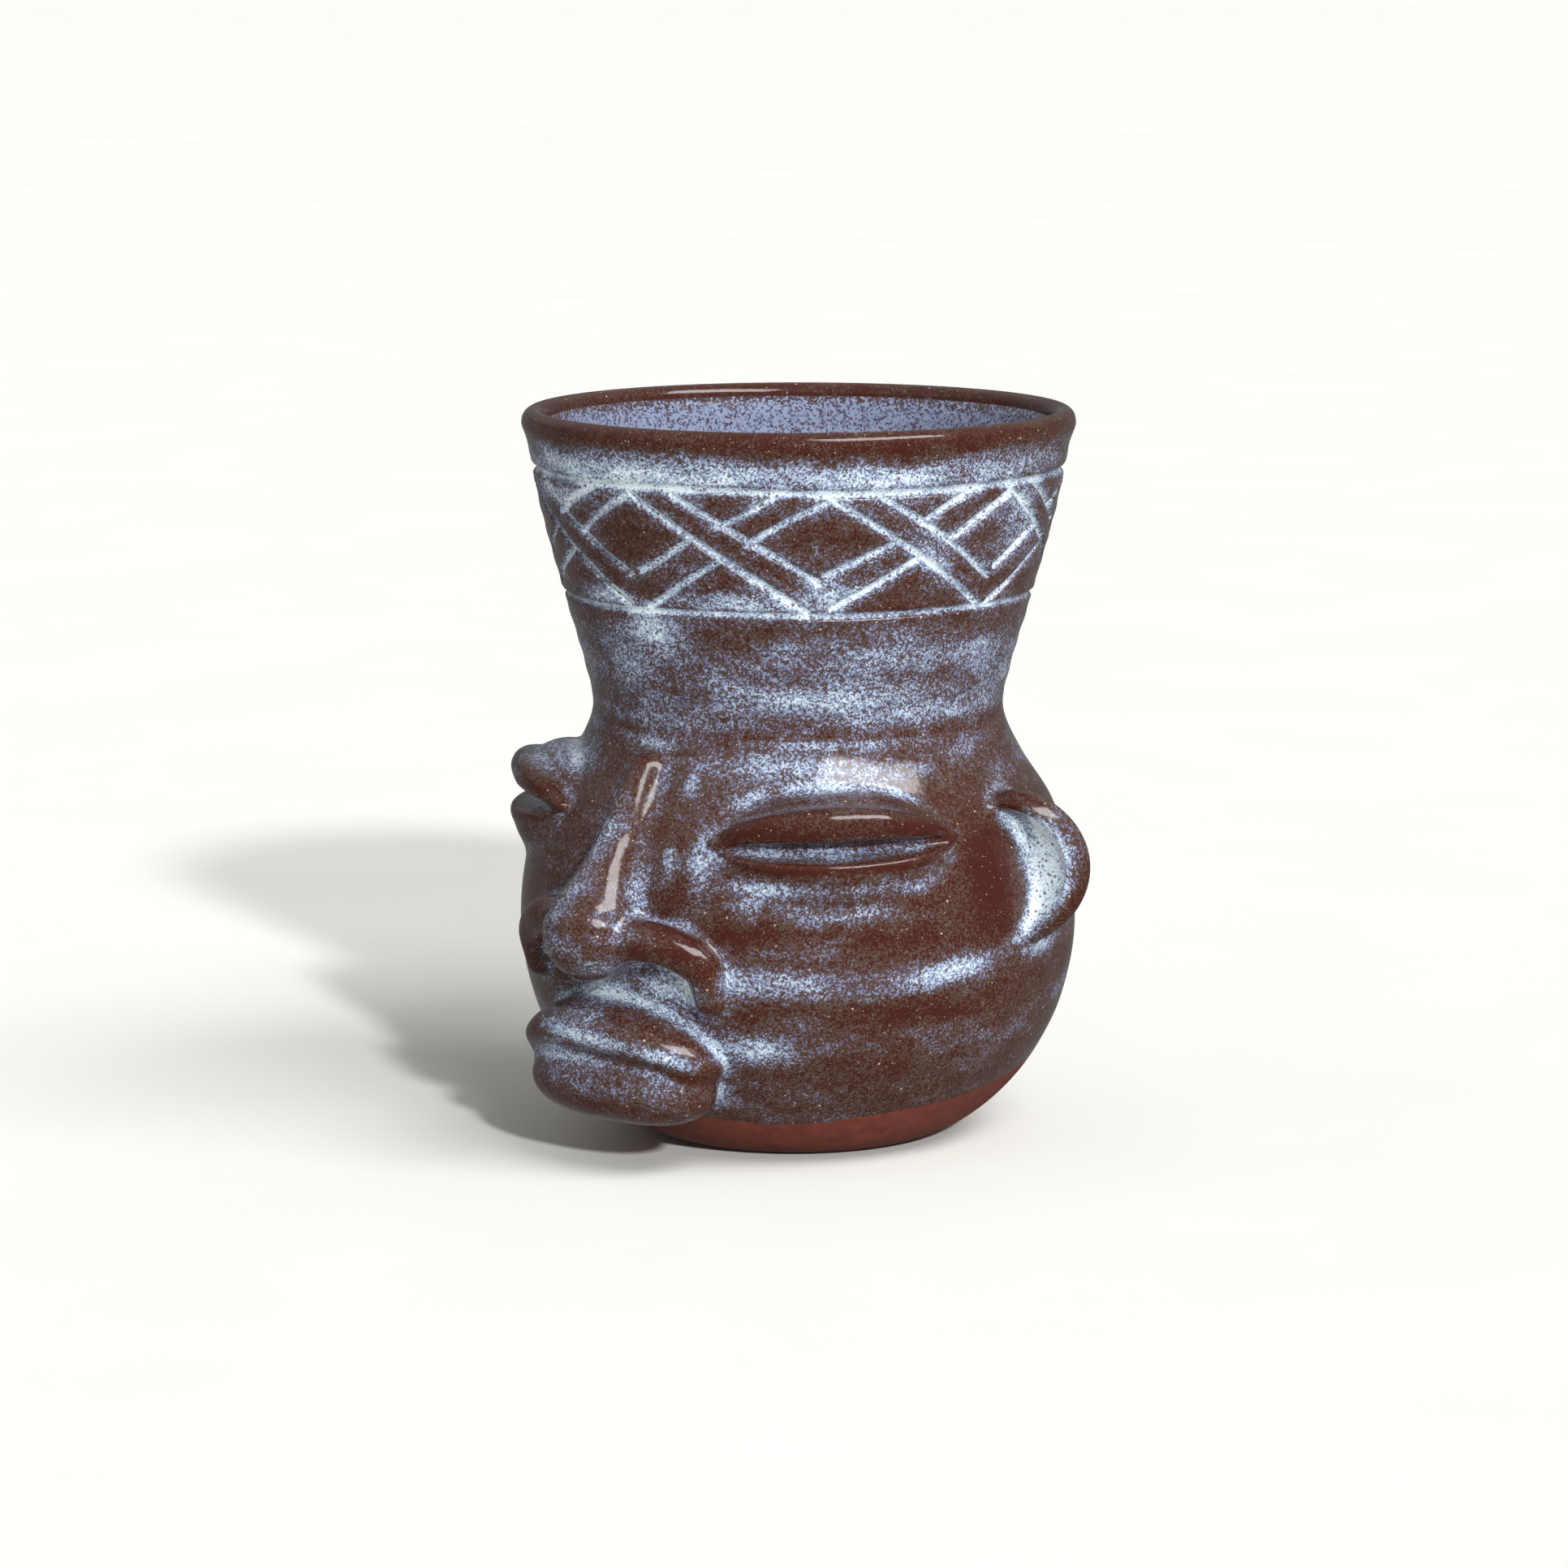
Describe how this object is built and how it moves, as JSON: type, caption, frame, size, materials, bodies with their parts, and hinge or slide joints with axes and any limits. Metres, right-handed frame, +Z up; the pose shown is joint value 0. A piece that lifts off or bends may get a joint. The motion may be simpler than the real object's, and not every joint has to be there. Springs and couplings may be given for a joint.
{
  "type": "tiki mug",
  "caption": "Handmade stoneware drinking mug shaped as a carved head, with a flared cup, a carved lattice band and a rolled rim.",
  "frame": {"origin": "centre of the flat base on the table, on the axis of the thrown wall", "axes": "+Z up through the mouth; the face looks along -Y; the head's own left side is +X"},
  "size_m": [0.1138, 0.108, 0.125],
  "materials": {
    "bare_clay": "unglazed red-brown stoneware, matt",
    "outer_glaze": "gloss brown glaze that breaks to speckled pale blue where it is thick",
    "inner_glaze": "gloss periwinkle blue glaze with dark pinholes"
  },
  "bodies": {
    "root": {"foot_base": "bare_clay", "bowl_lower": "outer_glaze", "bowl_cheeks": "outer_glaze", "bowl_shoulder": "outer_glaze", "cup_wall": "outer_glaze", "carved_band": "outer_glaze", "rim_collar": "outer_glaze", "glaze_liner": "inner_glaze", "upper_lid_left": "outer_glaze", "lower_lid_left": "outer_glaze", "upper_lid_right": "outer_glaze", "lower_lid_right": "outer_glaze", "nose": "outer_glaze", "nostril_coil_left": "outer_glaze", "nostril_coil_right": "outer_glaze", "upper_lip": "outer_glaze", "lower_lip": "outer_glaze", "ear_left": "outer_glaze", "ear_right": "outer_glaze"}
  },
  "joints": []
}
